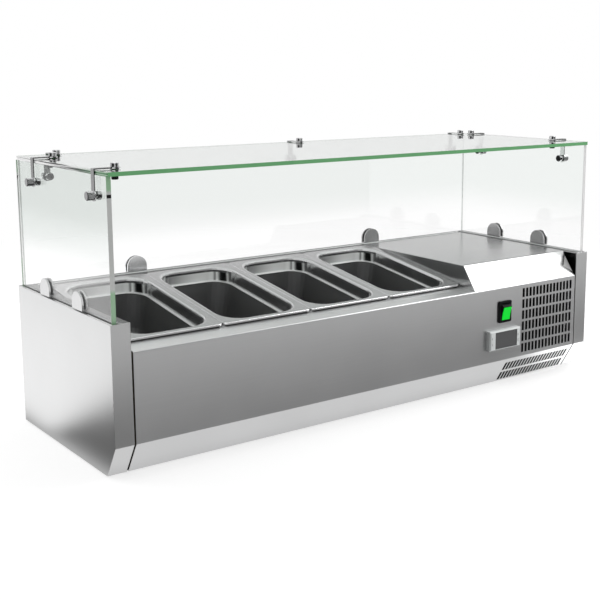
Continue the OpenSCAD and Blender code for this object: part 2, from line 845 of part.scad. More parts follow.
// Every clamp has a place, and a turn that points its strap outwards
face_right = 0;
face_back = 90;
face_left = 180;
strap_places = concat(
  [for (y = left_strap_ys) [x_l + glass_in, y, face_left]],
  [for (y = right_strap_ys) [x_r - glass_in, y, face_right]],
  [for (x = rear_strap_xs) [x, glass_back, face_back]]
);
module at_straps() {
  for (p = strap_places) translate([p[0], p[1], screen_z]) rotate([0, 0, p[2]]) children();
}

module top_glass() {
  color([0.8, 0.95, 0.88, 0.4]) difference() {
    translate([x_l + glass_in, y_f + top_front_in, top_glass_z]) linear_extrude(top_glass_t)
      round_rect(body_l - 2 * glass_in, glass_back - y_f - top_front_in, top_corner_r);
    at_straps() translate([-clamp_reach, 0, -top_glass_t - over])
      cylinder(h = top_glass_t + 2 * over, d = glass_hole_d);
  }
}

// Black channels in the grooves, holding the glass
module seal_form() {
  difference() {
    square([groove_w, groove_deep + groove_floor - over]);
    translate([glass_in - hem_w, groove_floor]) square([glass_t, groove_deep]);
  }
}
module glass_seals() {
  seal_y0 = y_f + sheet_t + clear;
  color([0.1, 0.1, 0.1]) {
    for (m = [0, 1]) mirror([m, 0, 0]) difference() {
      along_y(seal_y0, y_b - hem_w) translate([groove_x0, rail_floor_z]) seal_form();
    }
    translate([0, y_b - hem_w, 0]) mirror([0, 1, 0]) along_x(groove_x1, -groove_x1)
      translate([0, rail_floor_z]) seal_form();
  }
}

// Strap: an angle of flat steel with round ends, both legs drilled
strap_out = spacer_h + strap_t;
module strap_leg(l) {
  difference() {
    union() {
      translate([0, -strap_w / 2]) square([l, strap_w]);
      circle(strap_end_r);
    }
    circle(d = strap_hole_d);
  }
}
module glass_straps() {
  color("silver") at_straps() {
    translate([-clamp_reach, 0, spacer_h]) linear_extrude(strap_t) strap_leg(clamp_reach + strap_out);
    translate([spacer_h, 0, -clamp_drop]) rotate([0, 90, 0]) mirror([1, 0, 0])
      linear_extrude(strap_t) strap_leg(clamp_drop + spacer_h + strap_t);
  }
}

// The two clamps of a strap: one up through the top glass, one through the
// side glass, both drawn with the glass face at zero and the strap above it
module at_top_clamps() {
  at_straps() translate([-clamp_reach, 0, 0]) children();
}
module at_side_clamps() {
  at_straps() translate([0, 0, -clamp_drop]) rotate([0, 90, 0]) children();
}

// Turned knob or cap with softened ends
module knob(d, h) {
  rotate_extrude() polygon([
    [0, 0], [d / 2 - knob_round, 0], [d / 2, knob_round],
    [d / 2, h - knob_round], [d / 2 - knob_round, h], [0, h]
  ]);
}
module blind_knob(d, h) {
  difference() {
    knob(d, h);
    translate([0, 0, -over]) cylinder(h = bolt_in + over, d = bolt_d);
  }
}

module clamp_caps() {
  color("gainsboro") {
    at_top_clamps() translate([0, 0, strap_out]) blind_knob(top_cap_d, top_cap_h);
    at_side_clamps() translate([0, 0, strap_out]) blind_knob(side_cap_d, side_cap_h);
  }
}

module spacer() {
  linear_extrude(spacer_h) difference() {
    circle(d = spacer_d);
    circle(d = strap_hole_d);
  }
}
module clamp_spacers() {
  color("gainsboro") {
    at_top_clamps() spacer();
    at_side_clamps() spacer();
  }
}

module top_knobs() {
  color([0.05, 0.05, 0.05]) at_top_clamps() translate([0, 0, -top_glass_t]) mirror([0, 0, 1])
    blind_knob(top_knob_d, top_knob_h);
}

module side_knobs() {
  color("gainsboro") at_side_clamps() translate([0, 0, -glass_t]) mirror([0, 0, 1])
    blind_knob(side_knob_d, side_knob_h);
}

module clamp_bolts() {
  color("gray") {
    at_top_clamps() translate([0, 0, -top_glass_t - bolt_in])
      cylinder(h = top_glass_t + strap_out + 2 * bolt_in, d = bolt_d);
    at_side_clamps() translate([0, 0, -glass_t - bolt_in])
      cylinder(h = glass_t + strap_out + 2 * bolt_in, d = bolt_d);
  }
}

// Half-round clip plates either side of the glass foot, standing on the rail
clip_places = concat(
  [for (y = side_clip_ys) [x_l + glass_in, y, face_left]],
  [for (y = side_clip_ys) [x_r - glass_in, y, face_right]],
  [for (x = rear_clip_xs) [x, glass_back, face_back]]
);
module at_clips() {
  for (p = clip_places) translate([p[0], p[1], z_t + crown_h]) rotate([0, 0, p[2]]) rotate([90, 0, 90])
    children();
}
clip_faces = [clip_pad_t, -glass_t - clip_pad_t - clip_t];
module clip_plate() {
  difference() {
    linear_extrude(clip_t) {
      translate([-clip_w / 2, 0]) square([clip_w, clip_h - clip_w / 2]);
      intersection() {
        translate([0, clip_h - clip_w / 2]) circle(d = clip_w);
        translate([-clip_w / 2, 0]) square([clip_w, clip_h]);
      }
    }
    translate([0, clip_pin_z, 0]) children();
  }
}
module glass_clips() {
  color("silver") at_clips() {
    translate([0, 0, clip_faces[0]]) clip_plate()
      translate([0, 0, -over]) cylinder(h = clip_pin_in + over, d = clip_pin_d);
    translate([0, 0, clip_faces[1]]) clip_plate()
      translate([0, 0, clip_t - clip_pin_in]) cylinder(h = clip_pin_in + over, d = clip_pin_d);
  }
}
module clip_pad() {
  linear_extrude(clip_pad_t) difference() {
    translate([-clip_pad_w / 2, clip_t]) square([clip_pad_w, clip_pad_h]);
    translate([0, clip_pin_z]) circle(d = clip_pin_hole_d);
  }
}
module clip_pads() {
  color([0.1, 0.1, 0.1]) at_clips() for (z = [0, -glass_t - clip_pad_t]) translate([0, 0, z]) clip_pad();
}
module clip_pins() {
  color("gray") at_clips() translate([0, clip_pin_z, -glass_t - clip_pad_t - clip_pin_in])
    cylinder(h = glass_t + 2 * (clip_pad_t + clip_pin_in), d = clip_pin_d);
}

// Switch: bezel on the panel, body behind it, rocker on two pivots
module at_switch() {
  translate([switch_x, y_f, z_b + switch_z]) rotate([90, 0, 0]) children();
}
rocker_face = rocker_front + rocker_in;
rocker_root_h = rocker_half_h + rocker_face * tan(rocker_tilt);
rocker_dish_r = (rocker_half_h * rocker_half_h + rocker_dish * rocker_dish) / (2 * rocker_dish);
open_w = rocker_w + 2 * rocker_side_play;
open_h = 2 * (rocker_root_h + rocker_side_play);
module switch_bezel() {
  color([0.08, 0.08, 0.08]) at_switch() difference() {
    union() {
      translate([-switch_w / 2, -switch_h / 2, 0]) linear_extrude(switch_rim - lens_in)
        round_rect(switch_w, switch_h, switch_round);
      translate([lens_in - switch_w / 2, lens_in - switch_h / 2, 0]) linear_extrude(switch_rim)
        round_rect(switch_w - 2 * lens_in, switch_h - 2 * lens_in, switch_round - lens_in);
    }
    translate([-open_w / 2, -open_h / 2, -over]) cube([open_w, open_h, switch_rim + 2 * over]);
  }
}
module switch_body() {
  color([0.1, 0.1, 0.1]) at_switch() difference() {
    translate([clear - switch_hole_w / 2, clear - switch_hole_h / 2, -switch_deep])
      cube([switch_hole_w - 2 * clear, switch_hole_h - 2 * clear, switch_deep]);
    translate([-open_w / 2, -open_h / 2, -switch_deep + switch_wall]) cube([open_w, open_h, switch_deep]);
    translate([-open_w / 2 - pivot_l, 0, -rocker_in]) rotate([0, 90, 0])
      cylinder(h = open_w + 2 * pivot_l, d = pivot_d + 2 * pivot_play);
  }
}

// Rocker outline in depth and height, about its pivot, with a dished face
module at_rocker() {
  translate([switch_x, y_f + rocker_in, z_b + switch_z]) rotate([rocker_tilt, 0, 0]) children();
}
module rocker_outline(face) {
  half = rocker_root_h - face * tan(rocker_tilt);
  difference() {
    polygon([
      [-face, -half], [-face, half], [0, rocker_root_h],
      [rocker_back, half / 2], [rocker_back, -half / 2], [0, -rocker_root_h]
    ]);
    translate([-face - rocker_dish_r + rocker_dish, 0]) circle(rocker_dish_r, $fn = 360);
  }
}
module switch_rocker() {
  color([0.1, 0.1, 0.1]) at_rocker() {
    difference() {
      along_x(-rocker_w / 2, rocker_w / 2) rocker_outline(rocker_face - lens_t);
      block([lens_in - rocker_w / 2, -rocker_face, -rocker_half_h + lens_in],
        [rocker_w / 2 - lens_in, lens_t - rocker_face + rocker_dish, rocker_half_h - lens_in]);
    }
    translate([-rocker_w / 2 - pivot_l, 0, 0]) rotate([0, 90, 0])
      cylinder(h = rocker_w + 2 * pivot_l, d = pivot_d);
  }
}
module switch_lens() {
  color([0.1, 0.85, 0.25]) at_rocker() intersection() {
    along_x(lens_in - rocker_w / 2, rocker_w / 2 - lens_in) difference() {
      rocker_outline(rocker_face);
      translate([lens_t - rocker_face + rocker_dish, -rocker_half_h])
        square([rocker_face + rocker_back, 2 * rocker_half_h]);
    }
    block([-rocker_w / 2, -rocker_face, -rocker_half_h + lens_in],
      [rocker_w / 2, rocker_face, rocker_half_h - lens_in]);
  }
}

// Controller: bezel with a window and four keys, body behind the panel
module at_controller() {
  translate([controller_x, y_f, z_b + controller_z]) rotate([90, 0, 0]) children();
}
window_x1 = controller_w / 2 - window_right;
window_x0 = window_x1 - window_w;
key_xs = [-controller_w / 2 + key_left_in, controller_w / 2 - key_right_in];
key_places = [for (x = key_xs, s = [-1, 1]) [x, s * key_pitch / 2]];
module controller_bezel() {
  shell_w = controller_w - 2 * controller_round;
  shell_h = controller_h - 2 * controller_round;
  color([0.75, 0.77, 0.76]) at_controller() difference() {
    union() {
      translate([-controller_w / 2, -controller_h / 2, 0]) linear_extrude(controller_out - controller_round)
        round_rect(controller_w, controller_h, controller_round);
      hull() {
        translate([-controller_w / 2, -controller_h / 2, controller_out - controller_round])
          linear_extrude(clear) round_rect(controller_w, controller_h, controller_round, $fn = 24);
        translate([-shell_w / 2, -shell_h / 2, controller_out - clear]) linear_extrude(clear)
          round_rect(shell_w, shell_h, controller_round, $fn = 24);
      }
    }
    translate([window_x0, -window_h / 2, -over]) cube([window_w, window_h, controller_out + 2 * over]);
    for (p = key_places) translate([p[0] - key_w / 2 - key_play, p[1] - key_h / 2 - key_play, -over])
      cube([key_w + 2 * key_play, key_h + 2 * key_play, controller_out + 2 * over]);
  }
}
module controller_window() {
  color([0.3, 0.3, 0.3]) at_controller()
    translate([window_x0, -window_h / 2, controller_out - window_t - window_set])
      cube([window_w, window_h, window_t]);
}
module controller_body() {
  color([0.15, 0.15, 0.15]) at_controller() {
    translate([clear - controller_hole_w / 2, clear - controller_hole_h / 2, -controller_deep])
      cube([controller_hole_w - 2 * clear, controller_hole_h - 2 * clear, controller_deep]);
    translate([window_x0 + clear, clear - window_h / 2, 0])
      cube([window_w - 2 * clear, window_h - 2 * clear, controller_out - window_t - window_set]);
  }
}
key_back = controller_out + key_out - key_t;
module key(k) {
  p = key_places[k];
  color([0.6, 0.62, 0.62]) at_controller() {
    translate([p[0] - key_w / 2, p[1] - key_h / 2, key_back]) cube([key_w, key_h, key_t]);
  }
}
module key_1() { key(0); }
module key_2() { key(1); }
module key_3() { key(2); }
module key_4() { key(3); }

// Compressor on its foot plate, beside the back of the compartment
comp_x = cover_x0 + compressor_left;
comp_y = y_b - compressor_back;
comp_z = base_top + grommet_h + plate_t;
mount_dx = plate_w / 2 - mount_in;
mount_dy = plate_d / 2 - mount_in;
module mount_places() {
  for (sx = [-1, 1], sy = [-1, 1]) translate([comp_x + sx * mount_dx, comp_y + sy * mount_dy, 0]) children();
}
module compressor() {
  dome_r = (compressor_r * compressor_r + compressor_dome * compressor_dome) / (2 * compressor_dome);
  dome_a = asin(compressor_r / dome_r);
  top = compressor_h - compressor_dome;
  mid = compressor_h / 2;
  color([0.1, 0.1, 0.1]) {
    translate([comp_x, comp_y, comp_z]) rotate_extrude() polygon(concat(
      [[0, 0], [compressor_r - compressor_dome / 2, 0], [compressor_r, compressor_dome / 2],
       [compressor_r, mid - compressor_band_h / 2],
       [compressor_r + compressor_band, mid - compressor_band_h / 2],
       [compressor_r + compressor_band, mid + compressor_band_h / 2],
       [compressor_r, mid + compressor_band_h / 2]],
      arc([0, compressor_h - dome_r], dome_r, 90 - dome_a, 90, 2 * pan_arc_steps)
    ));
    difference() {
      translate([comp_x - plate_w / 2, comp_y - plate_d / 2, comp_z - plate_t]) linear_extrude(plate_t)
        round_rect(plate_w, plate_d, plate_round);
      mount_places() translate([0, 0, comp_z - plate_t - over])
        cylinder(h = plate_t + 2 * over, d = grommet_neck_d + clear);
    }
  }
}
module compressor_mounts() {
  color([0.15, 0.15, 0.15]) mount_places() translate([0, 0, base_top]) rotate_extrude() polygon([
    [grommet_bore / 2, 0], [grommet_d / 2, 0], [grommet_d / 2, grommet_h],
    [grommet_neck_d / 2, grommet_h], [grommet_neck_d / 2, grommet_h + plate_t + clear],
    [grommet_d / 2 - pan_t, grommet_h + plate_t + clear],
    [grommet_d / 2 - pan_t, grommet_h + plate_t + grommet_cap_h],
    [grommet_bore / 2, grommet_h + plate_t + grommet_cap_h]
  ]);
}
terminal_z = comp_z + compressor_dome;
module terminal_box() {
  color([0.12, 0.12, 0.12]) difference() {
    translate([comp_x - terminal_w / 2, comp_y - compressor_r - terminal_t + compressor_band, terminal_z])
      cube([terminal_w, terminal_t, terminal_h - compressor_band_h]);
    translate([comp_x, comp_y, terminal_z - over])
      cylinder(h = terminal_h + 2 * over, r = compressor_r + compressor_band + clear);
  }
}

// Condenser: fins on two rows of tubes between end plates, one brazed block
cond_x1 = post_r - condenser_side_gap;
cond_x0 = cond_x1 - condenser_w;
cond_y0 = y_f + sheet_t + condenser_gap;
cond_y1 = cond_y0 + condenser_t;
cond_z0 = base_top + condenser_lift;
function cond_tube_y(c) = cond_y0 + condenser_t * (c + 1 / 2) / tube_cols;
function cond_tube_z(r) = cond_z0 + condenser_h * (r + 1 / 2) / tube_rows;
module condenser() {
  color([0.7, 0.72, 0.72]) {
    for (k = [0:fin_count - 1]) {
      x = cond_x0 + end_plate_t + (condenser_w - 2 * end_plate_t - fin_t) * k / (fin_count - 1);
      block([x, cond_y0, cond_z0], [x + fin_t, cond_y1, cond_z0 + condenser_h]);
    }
    for (x = [cond_x0, cond_x1 - end_plate_t]) {
      block([x, cond_y0, cond_z0], [x + end_plate_t, cond_y1, cond_z0 + condenser_h]);
      block([x, y_f + bevel_in + 3 * sheet_t, base_top], [x + end_plate_t, cond_y1, cond_z0]);
    }
    for (c = [0:tube_cols - 1], r = [0:tube_rows - 1])
      bar([cond_x0 - tube_d / 2, cond_tube_y(c), cond_tube_z(r)],
        [cond_x1 + tube_d / 4, cond_tube_y(c), cond_tube_z(r)], tube_d);
  }
}

// Fan: shroud on the back of the condenser, motor on a strap behind the rotor
fan_x = (cond_x0 + cond_x1) / 2;
fan_z = cond_z0 + condenser_h / 2;
module at_fan() {
  translate([fan_x, cond_y1, fan_z]) rotate([-90, 0, 0]) children();
}
ring_r = fan_d / 2 + fan_tip_gap;
module fan_shroud() {
  color([0.75, 0.76, 0.76]) at_fan() {
    difference() {
      union() {
        translate([-condenser_w / 2, -condenser_h / 2, 0]) cube([condenser_w, condenser_h, shroud_t]);
        cylinder(h = shroud_ring_deep, r = ring_r + shroud_ring_t);
      }
      translate([0, 0, -over]) cylinder(h = shroud_ring_deep + 2 * over, r = ring_r);
    }
    difference() {
      translate([-motor_strap_w / 2, -condenser_h / 2, shroud_t])
        cube([motor_strap_w, condenser_h, motor_set + motor_strap_t - shroud_t]);
      translate([-motor_strap_w, motor_strap_t - condenser_h / 2, 0])
        cube([2 * motor_strap_w, condenser_h - 2 * motor_strap_t, motor_set]);
      cylinder(h = motor_set + motor_strap_t + over, d = 2 * shaft_d);
    }
  }
}
module fan_motor() {
  color([0.2, 0.2, 0.22]) at_fan() translate([0, 0, motor_set + motor_strap_t]) difference() {
    knob(motor_d, motor_l);
    translate([0, 0, -over]) cylinder(h = motor_l / 2 + over, d = shaft_d + 2 * shaft_play);
  }
}
module fan_shaft() {
  color([0.7, 0.7, 0.7]) at_fan() translate([0, 0, fan_set + fan_blade_t])
    cylinder(h = motor_set + motor_strap_t + motor_l / 2 - fan_set - fan_blade_t - over, d = shaft_d);
}
module fan_rotor() {
  color([0.15, 0.15, 0.15]) at_fan() difference() {
    union() {
      translate([0, 0, fan_set]) cylinder(h = fan_hub_l, d = fan_hub_d);
      intersection() {
        translate([0, 0, fan_set]) cylinder(h = fan_hub_l, d = fan_d);
        for (k = [0:fan_blades - 1]) rotate([0, 0, 360 * k / fan_blades])
          translate([0, 0, fan_set + fan_hub_l / 2]) rotate([fan_pitch, 0, 0])
            translate([0, -fan_hub_d / 2, -fan_blade_t / 2]) cube([fan_d, fan_hub_d, fan_blade_t]);
      }
    }
    translate([0, 0, fan_set + fan_blade_t]) cylinder(h = fan_hub_l, d = shaft_d + shaft_play);
  }
}

// Filter drier upright behind the switch, on the bulkhead side
drier_x = cover_x0 + bulkhead_in + sheet_t + clear + drier_d / 2;
drier_y = y_f + body_d / 2;
drier_z = base_top + condenser_lift;
module filter_drier() {
  color([0.72, 0.45, 0.28]) translate([drier_x, drier_y, drier_z]) rotate_extrude() polygon([
    [0, 0], [line_d / 2 + pan_t, 0], [line_d / 2 + pan_t, drier_end / 2], [drier_d / 2, drier_end],
    [drier_d / 2, drier_l - drier_end], [line_d / 2 + pan_t, drier_l - drier_end / 2],
    [line_d / 2 + pan_t, drier_l], [0, drier_l]
  ]);
}

// Copper lines: condenser to drier, compressor to condenser, well to compressor
function deck_point(p) = [
  p[0],
  deck_y + p[1] * cos(deck_tilt) - p[2] * sin(deck_tilt),
  deck_z + p[1] * sin(deck_tilt) + p[2] * cos(deck_tilt)
];
evap_end_x = cover_x0 + bulkhead_in + evap_tail;
suction_end = deck_point([evap_end_x + clear, evap_y(evap_runs - 1), evap_z]);
liquid_end = deck_point([evap_end_x + clear, evap_y(0), evap_z]);
line_top = comp_z + compressor_h + line_d;
module refrigerant_lines() {
  drier_top = drier_z + drier_l + clear;
  drier_foot = drier_z - clear;
  color([0.75, 0.45, 0.28]) {
    tube_run([
      suction_end,
      [comp_x - compressor_r - line_d - compressor_band, suction_end[1], suction_end[2]],
      [comp_x - compressor_r - line_d - compressor_band, comp_y, comp_z + compressor_h / 3],
      [comp_x - compressor_r - clear, comp_y, comp_z + compressor_h / 3]
    ], line_d);
    tube_run([
      [comp_x, comp_y, comp_z + compressor_h + clear],
      [comp_x, comp_y, line_top + line_d],
      [cond_x0 - 2 * tube_d, comp_y - compressor_r, line_top + line_d],
      [cond_x0 - 2 * tube_d, cond_tube_y(1), cond_tube_z(tube_rows - 1)],
      [cond_x0 - tube_d / 2 - clear, cond_tube_y(1), cond_tube_z(tube_rows - 1)]
    ], line_d);
    tube_run([
      [cond_x0 - tube_d / 2 - clear, cond_tube_y(1), cond_tube_z(0)],
      [cond_x0 - 3 * tube_d, cond_tube_y(1), cond_tube_z(0)],
      [cond_x0 - 3 * tube_d, cond_y1 + tube_d, base_top + 2 * tube_d],
      [drier_x, drier_y, base_top + 2 * tube_d],
      [drier_x, drier_y, drier_foot]
    ], line_d);
    tube_run([
      [drier_x, drier_y, drier_top],
      [drier_x, drier_y, drier_top + tube_d],
      [liquid_end[0] + tube_d, drier_y - 2 * drier_d, drier_top + tube_d],
      [liquid_end[0] + tube_d, liquid_end[1], liquid_end[2]],
      liquid_end
    ], line_d);
  }
}

// Serpentine under the liner, both ends through the bulkhead
evap_x0 = well_x0 + evap_side;
evap_x1 = well_x1 - evap_side;
module evaporator_tube() {
  color([0.75, 0.45, 0.28]) on_deck() translate([0, 0, evap_z]) {
    for (k = [0:evap_runs - 1]) {
      outer = k == 0 || k == evap_runs - 1;
      bar([evap_x0, evap_y(k), 0], [outer ? evap_end_x : evap_x1, evap_y(k), 0], evap_d);
    }
    for (k = [0:evap_runs - 2]) {
      left = k % 2 == 0;
      translate([left ? evap_x0 : evap_x1, evap_y(k) + evap_pitch / 2, 0]) rotate([0, 0, left ? 90 : -90])
        rotate_extrude(angle = 180) translate([evap_pitch / 2, 0]) circle(d = evap_d);
    }
  }
}

module temperature_probe() {
  color("silver") on_deck() at_probe(-probe_l / 2) cylinder(h = probe_l + bulkhead_in, d = probe_d);
}

// Cord gland in the back panel, empty
module cable_gland() {
  color([0.1, 0.1, 0.1]) translate([gland_x, y_b, z_b + gland_z]) rotate([-90, 0, 0]) difference() {
    union() {
      translate([0, 0, -sheet_t - gland_nut_h]) cylinder(h = sheet_t + 2 * gland_nut_h, d = gland_d);
      cylinder(h = gland_nut_h, d = gland_nut_d, $fn = 6);
      translate([0, 0, gland_nut_h]) knob(gland_d, gland_out - gland_nut_h);
      translate([0, 0, -sheet_t - gland_nut_h]) cylinder(h = gland_nut_h, d = gland_nut_d, $fn = 6);
    }
    translate([0, 0, -sheet_t - gland_nut_h - over])
      cylinder(h = gland_out + sheet_t + gland_nut_h + 2 * over, d = gland_bore);
  }
}

module foot_places() {
  for (x = [x_l + foot_in_x, x_r - foot_in_x], y = [y_f + foot_in_y, y_b - foot_back_in])
    translate([x, y, 0]) children();
}
module rubber_feet() {
  color([0.12, 0.12, 0.12]) foot_places() {
    knob(foot_d, base_z);
    translate([0, 0, base_z - clear]) cylinder(h = sheet_t + clear, d = stud_d - clear);
  }
}

// Screws of the back panel and the studs of the compressor mounts
module screws() {
  color("gray") {
    for (x = screw_xs) translate([x, y_b, back_screw_z]) rotate([-90, 0, 0]) {
      knob(screw_head_d, screw_head_h);
      translate([0, 0, -sheet_t]) cylinder(h = sheet_t + knob_round, d = screw_d - clear);
    }
    mount_places() translate([0, 0, base_z]) {
      cylinder(h = sheet_t + grommet_h + plate_t + grommet_cap_h, d = stud_d - clear);
      translate([0, 0, sheet_t + grommet_h + plate_t + grommet_cap_h])
        cylinder(h = stud_head_h, d = stud_head_d, $fn = 6);
    }
  }
}

left_side_panel();
right_side_panel();
left_end_rail();
right_end_rail();
front_panel();
back_panel();
rear_rail();
base_plate();
deck_frame();
well_liner();
foam_block();
bulkhead();
pan_bars();
pan_1();
pan_2();
pan_3();
pan_4();
compartment_cover();
left_glass();
right_glass();
rear_glass();
top_glass();
glass_seals();
glass_straps();
clamp_caps();
clamp_spacers();
top_knobs();
side_knobs();
clamp_bolts();
glass_clips();
clip_pads();
clip_pins();
switch_bezel();
switch_body();
switch_rocker();
switch_lens();
controller_bezel();
controller_window();
controller_body();
key_1();
key_2();
key_3();
key_4();
compressor();
compressor_mounts();
terminal_box();
condenser();
fan_shroud();
fan_motor();
fan_shaft();
fan_rotor();
filter_drier();
refrigerant_lines();
evaporator_tube();
temperature_probe();
cable_gland();
rubber_feet();
screws();
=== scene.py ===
import math

import bmesh
import bpy
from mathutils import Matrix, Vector

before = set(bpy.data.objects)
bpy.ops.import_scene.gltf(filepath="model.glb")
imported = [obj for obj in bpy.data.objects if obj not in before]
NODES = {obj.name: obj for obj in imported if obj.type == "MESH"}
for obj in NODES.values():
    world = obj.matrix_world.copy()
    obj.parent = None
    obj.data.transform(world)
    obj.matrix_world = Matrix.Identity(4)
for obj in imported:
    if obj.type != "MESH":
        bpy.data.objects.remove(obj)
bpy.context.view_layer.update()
scene = bpy.context.scene

# Lengths are metres in the shared frame. The masks below read an object's own coordinates, which are
# those of the shared frame at rest, so they ride along when a pose moves the piece.

# ---------------------------------------------------------------- camera, fitted to the photograph
CAMERA_AT = (-1.09794, -1.50861, 0.58131)
CAMERA_TURN = -37.363
CAMERA_PITCH = 10.01

view = bpy.data.cameras.new("view")
view.lens = 64.32
view.sensor_width = 36
view.shift_x, view.shift_y = -0.0854, -0.0754
view.clip_start, view.clip_end = 0.05, 50
camera = bpy.data.objects.new("view", view)
camera.location = CAMERA_AT
camera.rotation_euler = (math.radians(90 - CAMERA_PITCH), 0, math.radians(CAMERA_TURN))
scene.collection.objects.link(camera)
scene.camera = camera
scene.view_settings.view_transform = "Standard"

# ---------------------------------------------------------------- values that the masks share
# A face counts as lying flat, or as looking straight one way, as its normal's part runs through these
FLAT = (0.90, 0.97)
AGAINST = (-0.90, -0.97)
# Usual low and high of a noise
NOISE = (0.3, 0.7)
# Ramps hold tones up to this one
RAMP_TOP = 2.0
# Height of the fine grain
GRAIN_DEPTH = 0.0002
# Stretch of the grain noise, and direction, for sheet brushed along each axis
GRAIN = {"x": (3.0, 900.0, 900.0), "y": (900.0, 3.0, 900.0), "z": (900.0, 900.0, 3.0)}
AXES = {"x": (1, 0, 0), "y": (0, 1, 0), "z": (0, 0, 1)}
GREEN_EDGE = (0.125, 0.345, 0.155, 1)

# Tilted plane that the pans' rims stand on: y and z of its front end, sine and cosine of its tilt, and
# length along the slope for a length along y
RIM_Y, RIM_Z = -0.1312, 0.1906
RIM_SIN, RIM_COS = 0.1426, 0.9898
SLOPE_LENGTH = 1.0103
# Pans: left side of the first, spacing, width and length, and the centre of the rear right corner
PAN_LEFT, PAN_PITCH = -0.452, 0.163
PAN_WIDTH, PAN_LENGTH = 0.162, 0.265
CORNER = (0.1135, 0.2165)
# Heights over that plane: where the upper wall starts, where it ends at the ledge, and the wall below
UPPER_WALL = (-0.0025, -0.0045)
LEDGE = (-0.0202, -0.0192)
LOWER_WALL = (-0.0207, -0.0217)

# Cover: front and back of the painted dark line at its fold, and y down its sloping front
COVER_FOLD = (-0.1388, -0.1383), (-0.1335, -0.1330)
COVER_SLOPE = (-0.1387, -0.1692)

# Vent slots: last place, spacing, half a slot with its painted dark lip, and count, first across and
# then up or down
UPPER_SLOTS = (0.4481, 0.0091, 0.0031, 15), (0.17125, 0.0208, 0.0085, 6)
LOWER_SLOTS = (0.44865, 0.0081, 0.0030, 21), (-0.0195, 0.0248, 0.0099, 2)
# Bevelled foot of the front panel: height of its top, height for a length down it, and its normal
BEVEL_TOP, BEVEL_RISE = 0.052, 0.8529
BEVEL_LOOK = Vector((0, -0.853, -0.522))
# x and z of the field of each grille, y that its upright sheet lies in front of, how little a slot's
# cut wall looks the way its sheet looks, and the size that no cut wall in the bevel reaches
UPPER_FIELD = (0.31, 0.452), (0.056, 0.182)
LOWER_FIELD = (0.24, 0.455), (0.0, 0.050)
FRONT_Y = -0.165
EDGE_ON = 0.3
WALL_AREA = 1e-4


# ---------------------------------------------------------------- node helpers
def grey(v):
    return (v, v, v, 1.0)


class Shader:
    """A node tree with short calls for the nodes used here. A value is a constant or an output."""

    def __init__(self, tree):
        self.tree = tree
        tree.nodes.clear()

    def link(self, a, b):
        self.tree.links.new(a, b)

    def node(self, kind, inputs=(), **settings):
        n = self.tree.nodes.new(kind)
        for key, value in settings.items():
            setattr(n, key, value)
        for key, value in dict(inputs).items():
            if hasattr(value, "is_output"):
                self.link(value, n.inputs[key])
            else:
                n.inputs[key].default_value = value
        return n

    def math(self, how, a, b=0.0):
        return self.node("ShaderNodeMath", {0: a, 1: b}, operation=how).outputs[0]

    def plus(self, a, b):
        return self.math("ADD", a, b)

    def less(self, a, b):
        return self.math("SUBTRACT", a, b)

    def times(self, a, b):
        return self.math("MULTIPLY", a, b)

    def most(self, a, b):
        return self.math("MAXIMUM", a, b)

    def where(self, share, tone):
        """The tone where share is 1, and 1, which changes nothing, where it is 0."""
        return self.plus(1.0, self.times(share, self.less(tone, 1.0)))

    def span(self, value, low, high, to_low=0, to_high=1, smooth=False):
        """Runs from to_low at low to to_high at high, and stays level beyond them."""
        how = "SMOOTHSTEP" if smooth else "LINEAR"
        return self.node("ShaderNodeMapRange", {0: value, 1: low, 2: high, 3: to_low, 4: to_high},
                         interpolation_type=how).outputs[0]

    def mix(self, share, a, b):
        return self.node("ShaderNodeMix", {0: share, 6: a, 7: b}, data_type="RGBA").outputs[2]

    def scaled(self, colour, by):
        return self.node("ShaderNodeVectorMath", {0: colour, 3: by}, operation="SCALE").outputs[0]

    def parts(self, kind, output):
        """The three parts of a vector that a node of this kind gives."""
        return self.node("ShaderNodeSeparateXYZ", {0: self.node(kind).outputs[output]}).outputs

    def facing(self):
        """The way the face looks."""
        return self.parts("ShaderNodeNewGeometry", "True Normal")

    def rounded(self):
        """The way the smoothed surface looks."""
        return self.parts("ShaderNodeNewGeometry", "Normal")

    def place(self):
        return self.parts("ShaderNodeTexCoord", "Object")

    def noise(self, scale, detail=3.0, stretch=None, turn=(0, 0, 0), rough=0.5):
        at = self.node("ShaderNodeTexCoord").outputs["Object"]
        if stretch is not None:
            at = self.node("ShaderNodeMapping",
                           {"Vector": at, "Scale": stretch, "Rotation": turn}).outputs[0]
        return self.node("ShaderNodeTexNoise", {"Vector": at, "Scale": scale, "Detail": detail,
                                                "Roughness": rough}).outputs["Fac"]

    def bands(self, value, stops, top=RAMP_TOP):
        """A grey that runs smoothly through stops of (value, tone), as a share of top."""
        start, end = stops[0][0], stops[-1][0]
        n = self.node("ShaderNodeValToRGB", {0: self.span(value, start, end)})
        ramp = n.color_ramp
        ramp.interpolation = "EASE"
        ramp.elements.remove(ramp.elements[1])
        ramp.elements[0].color = grey(stops[0][1] / top)
        for at, tone in stops[1:]:
            ramp.elements.new((at - start) / (end - start)).color = grey(tone / top)
        return n.outputs[0]

    def tones(self, value, stops):
        """The tones of the bands themselves."""
        return self.times(self.bands(value, stops), RAMP_TOP)

    def relief(self, bsdf, height, strength, edge=None):
        """Fine grain, over edges that look rounded by the radius edge."""
        inputs = {"Strength": strength, "Distance": GRAIN_DEPTH, "Height": height}
        if edge:
            inputs["Normal"] = self.node("ShaderNodeBevel", {"Radius": edge}, samples=4).outputs[0]
        self.link(self.node("ShaderNodeBump", inputs).outputs[0], bsdf.inputs["Normal"])

    def mirrored(self, path):
        """1 for a ray that metal or glass has thrown back, 0 for one seen through glass."""
        straight = self.less(1.0, path.outputs["Is Transmission Ray"])
        return self.times(path.outputs["Is Glossy Ray"], straight)


